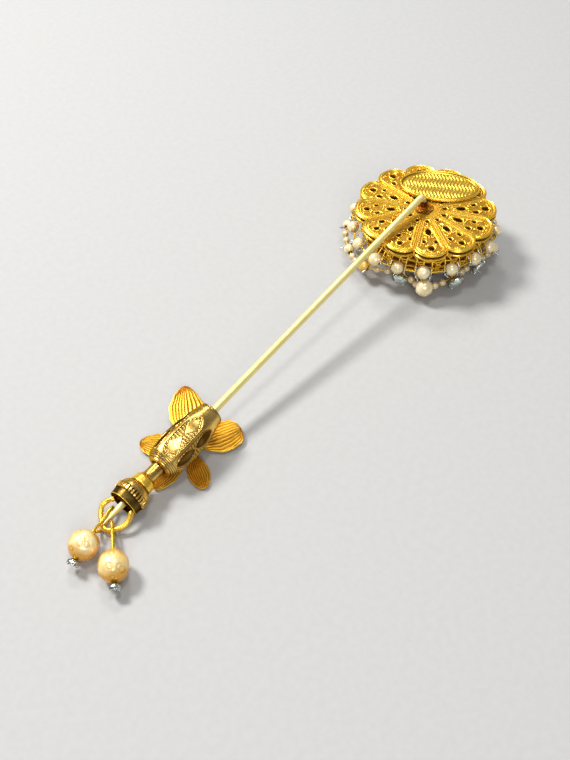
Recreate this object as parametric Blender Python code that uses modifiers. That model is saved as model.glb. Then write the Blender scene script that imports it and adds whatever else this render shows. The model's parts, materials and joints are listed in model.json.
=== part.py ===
"""Hat pin with a jewelled filigree head and a sprung slide-on clutch, lying face down.

Metres, +Z up. The pin runs along X: head at +X, point at -X. The origin is the centre of
the whole object's footprint, on the surface it lies on.
"""
import math

import bmesh
import bpy
from mathutils import Matrix, Vector

MM = 0.001

# Head: two scalloped filigree plates, parallel to the table.
HEAD = Vector((36.76, 0.0, 0.0))
PETALS = 12
PETAL_PHASE = -140.8
PLATE_R = 12.5
PLATE_NOTCH_R = 11.3
PLATE_THICK = 0.4
BACK_TOP_Z = 9.8
FRONT_TOP_Z = 8.9
HOLE_ROWS = ((3.4, 0.45), (6.25, 0.85), (9.8, 0.7))
PLAQUE_CENTRE = Vector((43.23, 1.31, 9.84))
PLAQUE_HALF = (7.25, 4.25)
PLAQUE_TURN = -59.4
PLAQUE_THICK = 0.62

# Shaft: bent foot at the plate, straight run down to the point.
PIN_TOP = Vector((36.4, 0.95, 12.0))
PIN_SLOPE = 7.1
PIN_R = 0.6
PIN_LEN = 80.2
POINT_LEN = 8.0
FOOT = Vector((36.85, 0.55, 9.84))

# Strung pearls: direction from the head's centre in degrees, distance out, height, radius.
RIM_PEARLS = (
    (-145.9, 12.2, 5.7, 1.25), (-122.0, 12.0, 5.7, 1.2), (-98.0, 12.0, 5.8, 1.2),
    (-77.9, 12.4, 5.8, 1.2), (-57.3, 12.8, 5.9, 1.2), (-35.0, 12.5, 5.8, 1.2),
    (-12.0, 12.2, 5.8, 1.2), (12.0, 12.3, 5.7, 1.15), (36.0, 12.3, 5.8, 1.2),
    (60.0, 12.4, 5.8, 1.2), (84.0, 12.5, 5.9, 1.15), (108.3, 12.9, 5.9, 1.1),
    (131.3, 12.7, 5.9, 1.1), (151.8, 12.9, 5.9, 1.1), (173.7, 12.9, 5.9, 1.2),
    (-167.3, 12.2, 5.7, 1.15),
)
TIP_PEARLS = (
    (-144.0, 12.9, 2.7, 1.6), (-64.8, 12.6, 3.2, 1.2), (5.2, 12.8, 3.2, 1.3),
    (117.2, 13.7, 3.6, 0.95), (145.3, 14.0, 3.6, 0.95), (164.0, 13.4, 3.1, 1.1),
)
SETTINGS = (
    (-165.0, 10.6, 3.3), (-117.0, 11.2, 3.1), (-91.0, 11.0, 3.5),
    (-30.0, 10.9, 3.3), (41.0, 10.9, 3.3), (83.0, 10.9, 3.3),
)
PEARL_BORE = 0.34
WIRE_R = 0.2
STONE_R = 1.05

# Clutch, measured along the pin from its top.
MOUTH = 56.1
BARREL_END = 68.3
SHOULDER = 71.1
KNURL = 74.3
END_PLATE = 76.0
LEAF_CENTRE = Vector((-24.4, 1.3, 1.06))
LEAF_THICK = 0.4
LEAF_HUB = 1.1
# Each leaf: direction, length, half width, rise of its tip, bluntness of its tip.
LEAVES = (
    (46.0, 11.6, 2.9, 1.2, 0.1), (-24.5, 8.7, 3.0, 0.0, 1.0), (-121.0, 7.7, 1.75, -0.4, 0.4),
    (-174.0, 8.9, 1.65, -0.4, 0.3), (121.0, 7.9, 2.3, -0.1, 0.3),
)

# Each drop: where its wire goes round the end loop, direction, reach inside the loop, pearl.
# It hinges there on the loop's own wire, which runs at DROP_HINGES degrees.
DROP_PEARL_R = 2.35
DROPS = {
    "left": (Vector((-42.75, 1.65, 1.0)), 194.7, 3.05, Vector((-47.36, 0.44, 2.37))),
    "right": (Vector((-42.47, -0.19, 1.0)), 227.6, 1.25, Vector((-47.15, -5.31, 2.37))),
}
DROP_HINGES = {"left": 52.8, "right": 127.0}

COLOURS = {
    "gold": ((0.95, 0.68, 0.2), 1.0, 0.28),
    "old_brass": ((0.52, 0.4, 0.17), 1.0, 0.35),
    "pale_brass": ((0.9, 0.82, 0.55), 1.0, 0.25),
    "pearl": ((0.9, 0.85, 0.72), 0.0, 0.25),
    "drop_pearl": ((0.88, 0.72, 0.42), 0.0, 0.25),
    "silver": ((0.75, 0.75, 0.72), 1.0, 0.25),
    "stone": ((0.85, 0.92, 0.88), 0.0, 0.05),
    "solder": ((0.7, 0.42, 0.15), 1.0, 0.5),
    "steel": ((0.6, 0.6, 0.6), 1.0, 0.3),
}


def start():
    for old in list(bpy.data.objects):
        bpy.data.objects.remove(old, do_unlink=True)
    home = bpy.data.collections.new("hat_pin")
    bpy.context.scene.collection.children.link(home)
    return home


def material(name):
    colour, metal, rough = COLOURS[name]
    mat = bpy.data.materials.get(name) or bpy.data.materials.new(name)
    mat.use_nodes = True
    shader = mat.node_tree.nodes["Principled BSDF"]
    shader.inputs["Base Color"].default_value = (*colour, 1.0)
    shader.inputs["Metallic"].default_value = metal
    shader.inputs["Roughness"].default_value = rough
    return mat


def place_object(name, data, mat, place, pivot=None):
    """Adds an object at place (mm), carried by the empty its body moves with."""
    data.materials.append(material(mat))
    ob = bpy.data.objects.new(name, data)
    HOME.objects.link(ob)
    ob.matrix_basis = Matrix.LocRotScale(place.to_translation() * MM, place.to_quaternion(),
                                         place.to_scale())
    if pivot:
        ob.parent = PIVOTS[pivot]
        ob.matrix_parent_inverse = PIVOTS[pivot].matrix_basis.inverted()
    return ob


def add_pivot(name, at, heading=0.0):
    hub = bpy.data.objects.new(name, None)
    hub.empty_display_size = 0.005
    hub.location = Vector(at) * MM
    hub.rotation_euler = (0, 0, math.radians(heading))
    HOME.objects.link(hub)
    PIVOTS[name] = hub


def frame_at(point, axis, hint=(0, 0, 1)):
    """Matrix that carries +Z onto axis at point."""
    z = Vector(axis).normalized()
    x = Vector(hint).cross(z)
    x = x.normalized() if x.length > 1e-6 else Vector((1, 0, 0))
    turn = Matrix((x, z.cross(x), z)).transposed().to_4x4()
    return Matrix.Translation(Vector(point)) @ turn


def turned(name, profile, steps, mat, place, pivot=None):
    """(radius, height) points turned round +Z. A profile that stays off the axis is bored."""
    bored = all(r > 0 for r, _ in profile)
    ends = profile[1:] + profile[:1] if bored else profile[1:]
    if sum((r1 + r2) * (h2 - h1) for (r1, h1), (r2, h2) in zip(profile, ends)) > 0:
        profile = profile[::-1]
    last = len(profile) - 1
    edges = [(k, k + 1) for k in range(last)] + ([(last, 0)] if bored else [])
    mesh = bpy.data.meshes.new(name)
    mesh.from_pydata([(r * MM, 0, h * MM) for r, h in profile], edges, [])
    ob = place_object(name, mesh, mat, place, pivot)
    screw = ob.modifiers.new("turn", "SCREW")
    screw.steps = screw.render_steps = steps
    screw.use_merge_vertices = True
    screw.merge_threshold = 1e-6
    screw.use_smooth_shade = True
    return ob


def wire(name, path, radius, mat, closed=False, resolution=1, pivot=None):
    """Round wire along a path; radius is one number or one per point."""
    radii = radius if isinstance(radius, (list, tuple)) else [radius] * len(path)
    curve = bpy.data.curves.new(name, "CURVE")
    curve.dimensions = "3D"
    curve.bevel_depth = MM
    curve.bevel_resolution = resolution
    curve.use_fill_caps = True
    spline = curve.splines.new("POLY")
    spline.points.add(len(path) - 1)
    start = Vector(path[0])
    for point, at, r in zip(spline.points, path, radii):
        point.co = (*((Vector(at) - start) * MM), 1)
        point.radius = r
    spline.use_cyclic_u = closed
    return place_object(name, curve, mat, Matrix.Translation(start), pivot)


def smooth_path(points, per_span, closed=False):
    """Points of a curve that passes through the given points."""
    pts = [Vector(p) for p in points]
    count = len(pts)
    out = []
    for k in range(count if closed else count - 1):
        if closed:
            a, b, c, d = (pts[(k + s) % count] for s in (-1, 0, 1, 2))
        else:
            a, b, c, d = (pts[min(max(k + s, 0), count - 1)] for s in (-1, 0, 1, 2))
        for i in range(per_span):
            t = i / per_span
            out.append(0.5 * (2 * b + (c - a) * t + (2 * a - 5 * b + 4 * c - d) * t * t
                              + (3 * b - a - 3 * c + d) * t ** 3))
    return out if closed else out + [pts[-1]]


def sheet(name, loops, thick, mat, place, pivot=None):
    """Flat sheet: the first loop is its outline and the others are holes."""
    curve = bpy.data.curves.new(name, "CURVE")
    curve.dimensions = "2D"
    curve.fill_mode = "BOTH"
    curve.extrude = thick / 2 * MM
    for loop in loops:
        spline = curve.splines.new("POLY")
        spline.points.add(len(loop) - 1)
        for point, (x, y) in zip(spline.points, loop):
            point.co = (x * MM, y * MM, 0, 1)
        spline.use_cyclic_u = True
    return place_object(name, curve, mat, place, pivot)


def round_hole(x, y, rx, ry, turn, count=8):
    c, s = math.cos(turn), math.sin(turn)
    out = []
    for i in range(count):
        a = 2 * math.pi * i / count
        u, v = rx * math.cos(a), ry * math.sin(a)
        out.append((x + u * c - v * s, y + u * s + v * c))
    return out


def ring_point(turn, out, z):
    a = math.radians(turn)
    return HEAD + Vector((out * math.cos(a), out * math.sin(a), z))


def bead(radius, bore, steps):
    """Profile of a bored round bead, its bore along Z."""
    first = math.asin(bore / radius)
    out = []
    for k in range(steps + 1):
        a = first + (math.pi - 2 * first) * k / steps
        out.append((radius * math.sin(a), radius * math.cos(a)))
    return out


def along(distance, side=0.0, up=0.0):
    """Point in the clutch: distance along the pin, sideways (+Y) and up across the pin."""
    return PIN_TOP + RUN * distance + Vector((0, 1, 0)) * side + LIFT * up


def build_plates():
    outline, holes = [], []
    for k in range(PETALS):
        mid = math.radians(PETAL_PHASE + 360 / PETALS * k)
        for part in (-0.5, -0.36, -0.2, 0.0, 0.2, 0.36):
            a = mid + part * 2 * math.pi / PETALS
            lobe = 1 - (2 * abs(part)) ** 2.4
            r = PLATE_NOTCH_R + (PLATE_R - PLATE_NOTCH_R) * lobe
            outline.append((r * math.cos(a), r * math.sin(a)))
        for r, size in HOLE_ROWS:
            x, y = r * math.cos(mid), r * math.sin(mid)
            holes.append(round_hole(x, y, size, size * 0.75, mid, 6))
    for name, top in (("back_filigree", BACK_TOP_Z), ("front_filigree", FRONT_TOP_Z)):
        place = Matrix.Translation(HEAD + Vector((0, 0, top - PLATE_THICK / 2)))
        sheet(name, [outline] + holes, PLATE_THICK, "gold", place)


def build_plaque():
    a, b = PLAQUE_HALF
    top = PLAQUE_THICK
    profile = [(0, 0), (a * 0.97, 0), (a, 0.15), (a, top - 0.08), (a - 0.12, top),
               (a - 0.4, top), (a - 0.5, top - 0.14), (0, top - 0.14)]
    squash = Matrix.Diagonal((1, b / a, 1, 1))
    turn = Matrix.Rotation(math.radians(PLAQUE_TURN), 4, "Z")
    turned("oval_plaque", profile, 36, "gold", Matrix.Translation(PLAQUE_CENTRE) @ turn @ squash)


def build_shaft():
    bend = [FOOT, FOOT + Vector((0, 0, 0.55)), FOOT + Vector((0.03, 0.1, 1.0)),
            FOOT + Vector((-0.02, 0.25, 1.4)), PIN_TOP + Vector((0.0, -0.08, -0.05)),
            PIN_TOP + RUN * 0.7, PIN_TOP + RUN * 1.6]
    run = [PIN_TOP + RUN * (10 + 20 * k) for k in range(4)]
    point = [PIN_TOP + RUN * (PIN_LEN - POINT_LEN * f) for f in (1.0, 0.5, 0.25, 0.08, 0.0)]
    radii = [PIN_R] * 12 + [PIN_R * 0.86, PIN_R * 0.5, PIN_R * 0.2, 0.03]
    wire("pin_shaft", bend + run + point, radii, "pale_brass", resolution=2)
    blob = [(0.66, 0.5), (0.8, 0.5), (1.0, 0.3), (1.35, 0.14), (1.5, 0.0), (0.66, 0.0)]
    turned("solder_fillet", blob, 14, "solder", Matrix.Translation(FOOT))


def build_strung_pearls():
    rim = [ring_point(a, r, z) for a, r, z, _ in RIM_PEARLS]
    for k, at in enumerate(rim):
        axis = rim[(k + 1) % len(rim)] - rim[k - 1]
        turned(f"rim_pearl_{k + 1:02d}", bead(RIM_PEARLS[k][3], PEARL_BORE, 6), 10, "pearl",
               frame_at(at, axis))
    wire("rim_wire", smooth_path(rim, 4, True), WIRE_R, "gold", closed=True, resolution=0)
    tier = sorted(list(TIP_PEARLS) + [(a, r, z, 0) for a, r, z in SETTINGS])
    path = [ring_point(a, r, z) for a, r, z, _ in tier]
    pearl = setting = 0
    strand = []
    for k, (a, r, z, size) in enumerate(tier):
        at = path[k]
        if size:
            pearl += 1
            axis = (path[(k + 1) % len(path)] - path[k - 1]).normalized()
            strand += [at + axis * size * f for f in (-1.15, -0.5, 0.5, 1.15)]
            turned(f"tip_pearl_{pearl:02d}", bead(size, PEARL_BORE + 0.1, 6), 12, "pearl",
                   frame_at(at, axis))
            continue
        setting += 1
        strand.append(at)
        face = Vector((math.cos(math.radians(a)), math.sin(math.radians(a)), -0.35)).normalized()
        build_stone(f"setting_{setting:02d}", f"stone_{setting:02d}",
                    frame_at(at + face * (WIRE_R + 0.25), face), STONE_R)
    wire("tier_wire", smooth_path(strand, 3, True), WIRE_R, "gold", closed=True, resolution=0)


def build_stone(cup, stone, place, radius, pivot=None):
    """Open cup with a lip, and the pointed-back stone it holds."""
    r = radius
    shell = [(0, 0.12), (r * 0.5, 0.12), (r + 0.03, 0.52), (r + 0.04, 0.92), (r + 0.14, 0.92),
             (r + 0.12, 0.5), (r * 0.6, 0.0), (0, 0)]
    turned(cup, shell, 10, "silver", place, pivot)
    gem = [(0, 1.12), (r * 0.62, 1.08), (r * 0.96, 0.78), (r * 0.93, 0.62), (0, 0.17)]
    turned(stone, gem, 8, "stone", place, pivot)


def build_centre():
    down = frame_at(HEAD + Vector((0, 0, FRONT_TOP_Z - PLATE_THICK - 0.03)), (0, 0, -1))
    cup = [(0, 2.0), (1.9, 2.2), (2.85, 3.3), (3.05, 4.6), (3.3, 4.6), (3.1, 3.2), (2.2, 1.6),
           (2.2, 0), (0, 0)]
    turned("centre_cup", cup, 20, "gold", down)
    turned("centre_pearl", ball(3.0, 9, 5.44), 20, "pearl", down)


def ball(radius, steps, height):
    """Profile of a plain ball whose centre is at height."""
    turns = [math.pi * k / steps for k in range(steps + 1)]
    ring = [(radius * math.sin(a), height + radius * math.cos(a)) for a in turns[1:-1]]
    return [(0, height + radius)] + ring + [(0, height - radius)]


def build_clutch():
    mouth = frame_at(along(MOUTH), RUN)
    span = BARREL_END - MOUTH
    outside = [(1.75, 0.0), (1.95, 0.12), (2.2, 1.2), (2.62, 2.9), (2.95, 5.0), (3.08, 7.4),
               (2.98, 9.4), (2.72, 11.0), (2.55, 11.5), (2.1, 12.0), (1.6, span)]
    bore = [(1.22, span), (1.22, 11.3), (1.95, 11.0), (1.95, 3.6), (1.0, 2.0), (0.78, 1.9),
            (0.78, 0.0)]
    turned("clutch_barrel", outside + bore, 24, "old_brass", mouth, "clutch")
    coil = []
    for k in range(43):
        a = 2 * math.pi * k / 12
        coil.append(mouth @ Vector((1.52 * math.cos(a), 1.52 * math.sin(a), 5.2 + 5.55 * k / 42)))
    wire("clutch_spring", coil, 0.14, "steel", resolution=0, pivot="clutch")
    jaws = [(0.67, 2.6), (1.25, 2.6), (1.84, 3.8), (1.84, 5.0), (0.67, 5.0)]
    turned("grip_collet", jaws, 16, "steel", mouth, "plunger")
    neck = [(0.78, 5.06), (1.1, 5.06), (1.1, 14.4), (1.35, 14.75), (1.6, 15.0), (1.68, 15.6),
            (1.68, 16.2), (0.78, 16.2)]
    turned("plunger_neck", neck, 18, "old_brass", mouth, "plunger")
    end = END_PLATE - MOUTH
    knurl = KNURL - MOUTH
    bell = [(0.78, 16.26), (1.7, 16.26), (2.05, 16.7), (2.35, 17.3), (2.5, knurl - 0.45),
            (2.6, knurl - 0.4), (2.6, knurl + 0.5), (2.4, knurl + 0.62), (2.36, end), (0.78, end)]
    turned("knurled_bell", bell, 24, "old_brass", mouth, "plunger")


def build_leaves():
    """Five leaves cut from one sheet, then each bent up or down along its length."""
    outline = []
    stations = ((0.2, 0.3), (0.34, 0.66), (0.52, 0.96), (0.7, 0.97), (0.86, 0.66), (0.96, 0.3))
    for turn, length, half, _, blunt in sorted(LEAVES):
        mid = math.radians(turn)
        c, s = math.cos(mid), math.sin(mid)
        edge = [(t, w + blunt * 0.32 * max(t - 0.7, 0) / 0.26) for t, w in stations]
        shape = [(t, -w) for t, w in edge] + [(1.0, 0.0)] + [(t, w) for t, w in edge[::-1]]
        outline += [(t * length * c - w * half * s, t * length * s + w * half * c)
                    for t, w in shape]
    place = Matrix.Translation(LEAF_CENTRE - Vector((0, 0, LEAF_THICK / 2)))
    flat = sheet("leaf_sheet", [outline, round_hole(0, 0, 0.5, 0.5, 0, 8)], LEAF_THICK, "gold",
                 place)
    bpy.context.view_layer.update()
    mesh = bpy.data.meshes.new_from_object(flat.evaluated_get(bpy.context.evaluated_depsgraph_get()))
    mesh.name = "leaf_rosette"
    bpy.data.objects.remove(flat, do_unlink=True)
    work = bmesh.new()
    work.from_mesh(mesh)
    bmesh.ops.remove_doubles(work, verts=work.verts, dist=1e-6)
    for vert in work.verts:
        vert.co.z += leaf_rise(vert.co.x / MM, vert.co.y / MM) * MM
    bmesh.ops.triangulate(work, faces=work.faces)
    work.to_mesh(mesh)
    work.free()
    mesh.materials.clear()
    place_object("leaf_rosette", mesh, "gold", place, "clutch")
    top = LEAF_CENTRE.z
    rivet = [(0, 0.2), (0.43, 0.2), (0.43, -0.68), (1.1, -0.68), (1.1, -top + 0.28),
             (0.85, -top + 0.1), (0, -top + 0.06)]
    turned("rosette_rivet", rivet, 12, "gold", Matrix.Translation(LEAF_CENTRE), "clutch")


def leaf_rise(x, y):
    r, a = math.hypot(x, y), math.degrees(math.atan2(y, x))
    if r <= LEAF_HUB:
        return 0.0
    _, length, _, rise, _ = min(LEAVES, key=lambda leaf: abs(math.remainder(a - leaf[0], 360)))
    f = min((r - LEAF_HUB) / (length - LEAF_HUB), 1.0)
    return rise * f ** 1.5 - 0.25 * math.sin(math.pi * f)


def build_end_loop():
    half = ((0.3, 1.9, -0.3), (0.9, 2.18, -0.5), (1.8, 2.28, -0.75), (2.7, 1.95, -0.98),
            (3.5, 1.3, -1.12), (4.05, 0.6, -1.17), (4.2, 0.0, -1.18))
    # One side bulges: the wire was bent by hand.
    points = [along(END_PLATE + d, s + 0.42 * math.sin(math.pi * min(d / 3.2, 1.0)), u)
              for d, s, u in half]
    points += [along(END_PLATE + d, -s, u) for d, s, u in half[-2::-1]]
    feet = [along(END_PLATE + 0.03, s, -0.3) for s in (1.9, -1.9)]
    path = feet[:1] + smooth_path(points, 2) + feet[1:]
    wire("end_loop", path, 0.375, "gold", pivot="plunger")


def build_drop(side):
    """A hairpin wire over the end loop, a pearl, and a stone in a cup at the end."""
    grip, turn, inner, centre = DROPS[side]
    a = math.radians(turn)
    out = Vector((math.cos(a), math.sin(a), 0))
    up = Vector((0, 0, 1))
    entry = centre - out * (DROP_PEARL_R + 0.15)
    steps = ((0.75, 0.9), (0.0, 0.75), (-inner * 0.6, 0.7), (0.12 - inner, 0.47), (-inner, 0.03),
             (0.12 - inner, -0.42), (-inner * 0.5, -0.69), (0.3, -0.71), (0.95, -0.45))
    bend = [grip + out * d + up * h for d, h in steps]
    tail = entry - out * 0.25 - up * (entry.z - 1.75)
    path = [centre + out * (DROP_PEARL_R + 0.1), centre, entry] + bend + [tail]
    wire(f"{side}_drop_wire", smooth_path(path, 3), 0.22, "gold", pivot=f"{side}_drop")
    turned(f"{side}_drop_pearl", bead(DROP_PEARL_R, 0.42, 9), 18, "drop_pearl",
           frame_at(centre, out), f"{side}_drop")
    face = (out - up * 0.45).normalized()
    build_stone(f"{side}_drop_setting", f"{side}_drop_stone",
                frame_at(centre + out * (DROP_PEARL_R + 0.2), face), 0.78, f"{side}_drop")


SLOPE = math.radians(PIN_SLOPE)
RUN = Vector((-math.cos(SLOPE), 0, -math.sin(SLOPE)))
LIFT = Vector((-math.sin(SLOPE), 0, math.cos(SLOPE)))
PIVOTS = {}
HOME = start()
add_pivot("clutch", along(MOUTH))
add_pivot("plunger", along(END_PLATE))
for which, drop in DROPS.items():
    add_pivot(f"{which}_drop", drop[0], DROP_HINGES[which])
build_shaft()
build_plates()
build_plaque()
build_strung_pearls()
build_centre()
build_clutch()
build_leaves()
build_end_loop()
for which in DROPS:
    build_drop(which)
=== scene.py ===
"""Hat pin lying face down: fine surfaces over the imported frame, with floor, light and camera.

Shapes are worked out in millimetres; Build.piece turns them into the frame's metres.
"""
import json
import random
from math import asin, atan2, cos, exp, hypot, pi, radians, sin, sqrt, tan

import bmesh
import bpy
from mathutils import Matrix, Vector, geometry, noise


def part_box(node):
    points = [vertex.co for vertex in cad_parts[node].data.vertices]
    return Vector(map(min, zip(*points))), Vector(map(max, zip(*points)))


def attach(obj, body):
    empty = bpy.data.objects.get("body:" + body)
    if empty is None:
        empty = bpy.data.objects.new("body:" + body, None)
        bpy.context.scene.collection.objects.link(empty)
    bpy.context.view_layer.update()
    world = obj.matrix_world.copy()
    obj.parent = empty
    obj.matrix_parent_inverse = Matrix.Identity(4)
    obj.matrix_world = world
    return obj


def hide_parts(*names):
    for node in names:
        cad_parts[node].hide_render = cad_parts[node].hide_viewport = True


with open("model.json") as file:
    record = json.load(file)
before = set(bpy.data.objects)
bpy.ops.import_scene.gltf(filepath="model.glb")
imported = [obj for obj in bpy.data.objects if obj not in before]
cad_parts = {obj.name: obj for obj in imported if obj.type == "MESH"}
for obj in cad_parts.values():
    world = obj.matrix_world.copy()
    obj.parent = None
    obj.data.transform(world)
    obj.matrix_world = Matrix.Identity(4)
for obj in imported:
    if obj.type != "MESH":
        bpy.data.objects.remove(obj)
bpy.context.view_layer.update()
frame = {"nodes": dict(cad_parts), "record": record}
MM = 0.001
UP = Vector((0, 0, 1))
TURN = 2 * pi


def box_mm(node):
    lo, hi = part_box(node)
    return Vector(lo) / MM, Vector(hi) / MM


def middle(node):
    lo, hi = box_mm(node)
    return (lo + hi) / 2


def link_object(name, data):
    ob = bpy.data.objects.new(name, data)
    bpy.context.scene.collection.objects.link(ob)
    return ob


def smoothstep(a, b, x):
    t = min(max((x - a) / (b - a), 0.0), 1.0)
    return t * t * (3 - 2 * t)


def unit(x):
    """x held between 0 and 1."""
    return min(max(x, 0.0), 1.0)


# ---- materials

def new_material(name):
    mat = bpy.data.materials.new(name)
    mat.use_nodes = True
    return mat, mat.node_tree, mat.node_tree.nodes["Principled BSDF"]


def put(node, values):
    for name, value in values.items():
        node.inputs[name].default_value = value


def map_range(nt, value, settings):
    node = nt.nodes.new("ShaderNodeMapRange")
    put(node, settings)
    nt.links.new(value, node.inputs["Value"])
    return node.outputs["Result"]


def noise_fac(nt, scale, detail=3.0, lo=0.35, hi=0.65):
    """Noise in object space, stretched to 0..1 between lo and hi."""
    coord = nt.nodes.new("ShaderNodeTexCoord")
    tex = nt.nodes.new("ShaderNodeTexNoise")
    put(tex, {"Scale": scale, "Detail": detail})
    nt.links.new(coord.outputs["Object"], tex.inputs["Vector"])
    return map_range(nt, tex.outputs["Fac"], {"From Min": lo, "From Max": hi})


def mix_colour(nt, fac, a, b):
    """a and b are colours or sockets."""
    mix = nt.nodes.new("ShaderNodeMix")
    mix.data_type = "RGBA"
    nt.links.new(fac, mix.inputs["Factor"])
    for socket, value in ((mix.inputs["A"], a), (mix.inputs["B"], b)):
        if isinstance(value, bpy.types.NodeSocket):
            nt.links.new(value, socket)
        else:
            socket.default_value = (*value, 1)
    return mix.outputs["Result"]


def set_roughness(nt, shader, fac, lo, hi):
    nt.links.new(map_range(nt, fac, {"To Min": lo, "To Max": hi}), shader.inputs["Roughness"])


def bump(nt, shader, fac, strength, distance):
    node = nt.nodes.new("ShaderNodeBump")
    put(node, {"Strength": strength, "Distance": distance})
    nt.links.new(fac, node.inputs["Height"])
    nt.links.new(node.outputs["Normal"], shader.inputs["Normal"])


def tone_socket(nt):
    node = nt.nodes.new("ShaderNodeAttribute")
    node.attribute_name = "tone"
    return node.outputs["Fac"]


def metal(name, bright, dull, patina_and_shade, rough=(0.2, 0.4), patch=900.0, grain=5000.0,
          depth=1.2e-5, strength=0.5, metallic=1.0, edge=(1.0, 1.0, 1.0)):
    """Metal with tarnish patches, a darker colour by the tone attribute (painted shade in hollows
    and under parts, and patina in engraving), and fine grain.
    """
    mat, nt, shader = new_material(name)
    colour = mix_colour(nt, noise_fac(nt, patch, 4.0), bright, dull)
    # The tone mixes in the darkest colour: painted shade, and patina where engraving holds it.
    colour = mix_colour(nt, tone_socket(nt), colour, patina_and_shade)
    nt.links.new(colour, shader.inputs["Base Color"])
    put(shader, {"Metallic": metallic, "Specular Tint": (*edge, 1)})
    fine = noise_fac(nt, grain, 3.0, 0.3, 0.7)
    set_roughness(nt, shader, fine, *rough)
    bump(nt, shader, fine, strength, depth)
    return mat


def pearl(name, light, warm, amber_and_shade, rough=(0.22, 0.36), scale=700.0):
    """Pearlised coating: cloudy colour, amber and painted shade where the tone attribute says,
    fine dimples.
    """
    mat, nt, shader = new_material(name)
    colour = mix_colour(nt, noise_fac(nt, scale, 3.0), light, warm)
    # The tone mixes in amber: the drops' own amber ends, and painted shade in bores, pits,
    # undersides and on the side away from the light.
    colour = mix_colour(nt, tone_socket(nt), colour, amber_and_shade)
    nt.links.new(colour, shader.inputs["Base Color"])
    fine = noise_fac(nt, scale * 3.2, 2.0)
    set_roughness(nt, shader, fine, *rough)
    put(shader, {"Specular IOR Level": 0.75, "Coat Weight": 0.45, "Coat Roughness": 0.12,
                 "Metallic": 0.18})
    bump(nt, shader, fine, 0.25, 2.0e-5)
    return mat


def crystal(name, clear, shade):
    """Foil-backed cut glass, mirror-bright in some facets."""
    mat, nt, shader = new_material(name)
    patches = noise_fac(nt, 1500.0, 1.0, 0.42, 0.58)
    nt.links.new(mix_colour(nt, patches, clear, shade), shader.inputs["Base Color"])
    set_roughness(nt, shader, patches, 0.04, 0.12)
    put(shader, {"Metallic": 0.65, "Coat Weight": 1.0, "Coat Roughness": 0.03})
    return mat


WARM_EDGE = (1.0, 0.72, 0.25)
GOLD = metal("yellow_gilding", (1.0, 0.67, 0.1), (0.94, 0.58, 0.06), (0.3, 0.115, 0.008),
             rough=(0.2, 0.36), depth=9e-6, metallic=0.8, edge=WARM_EDGE)
SHEET_GOLD = metal("filigree_sheet", (1.0, 0.62, 0.07), (0.88, 0.48, 0.035),
                   (0.14, 0.045, 0.003), rough=(0.3, 0.5), patch=600.0, grain=3500.0,
                   depth=3e-5, strength=0.6, metallic=0.7, edge=WARM_EDGE)
LEAF_GOLD = metal("leaf_gilding", (1.0, 0.64, 0.075), (0.94, 0.55, 0.045),
                  (0.34, 0.11, 0.006), rough=(0.3, 0.46), patch=500.0, grain=3800.0,
                  depth=2e-5, metallic=0.7, edge=WARM_EDGE)
OLD_BRASS = metal("aged_brass", (0.98, 0.67, 0.19), (0.68, 0.41, 0.09),
                  (0.085, 0.038, 0.008), patch=380.0, grain=4200.0,
                  depth=1.0e-5, strength=0.35, edge=(0.7, 0.42, 0.12))
DARK_BRASS = metal("dark_brass", (0.17, 0.11, 0.025), (0.1, 0.062, 0.014),
                   (0.03, 0.02, 0.006), rough=(0.26, 0.46), patch=500.0, grain=3600.0,
                   depth=2e-5, edge=(0.5, 0.35, 0.15))
PALE_BRASS = metal("pale_brass", (1.0, 0.88, 0.38), (0.96, 0.8, 0.28), (0.55, 0.36, 0.12),
                   rough=(0.28, 0.4), patch=220.0, grain=1800.0, depth=4e-6, strength=0.3,
                   metallic=0.5, edge=(1.0, 0.9, 0.6))
SILVER = metal("silver_plate", (0.82, 0.85, 0.8), (0.55, 0.6, 0.53), (0.1, 0.12, 0.09),
               rough=(0.12, 0.3), patch=1200.0)
SOLDER = metal("solder", (0.75, 0.33, 0.03), (0.42, 0.15, 0.015), (0.1, 0.03, 0.005),
               rough=(0.35, 0.6), grain=2500.0, depth=6e-5, strength=0.9)
STEEL = metal("spring_steel", (0.7, 0.7, 0.68), (0.55, 0.54, 0.5), (0.2, 0.18, 0.15),
              rough=(0.25, 0.4))
SEED = pearl("seed_pearl", (0.95, 0.84, 0.56), (0.84, 0.66, 0.32), (0.4, 0.22, 0.05))
SEED_GOLD = pearl("golden_seed_pearl", (0.88, 0.58, 0.12), (0.78, 0.42, 0.05),
                  (0.3, 0.13, 0.01))
DROP = pearl("champagne_pearl", (1.0, 0.84, 0.46), (0.96, 0.7, 0.24), (0.72, 0.34, 0.01),
             scale=420.0)
CRYSTAL = crystal("foiled_crystal", (0.86, 0.93, 0.88), (0.55, 0.68, 0.6))


# ---- mesh building

def frame_at(point, axis):
    z = Vector(axis).normalized()
    x = UP.cross(z)
    x = x.normalized() if x.length > 1e-6 else Vector((1, 0, 0))
    return Matrix.Translation(Vector(point)) @ Matrix((x, z.cross(x), z)).transposed().to_4x4()


def polar(radius, angle, height=0.0):
    return Vector((radius * cos(angle), radius * sin(angle), height))


def circle(place, radius, height, steps, phase=0.0):
    """Points round +Z of place."""
    return [place @ polar(radius, TURN * i / steps + phase, height) for i in range(steps)]


def sampled(rows, columns, spot):
    """Rows of points and rows of tones, from spot(row, column) -> (point, tone)."""
    cells = [[spot(k, i) for i in range(columns)] for k in range(rows)]
    return [[p for p, _ in row] for row in cells], [[t for _, t in row] for row in cells]


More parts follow.
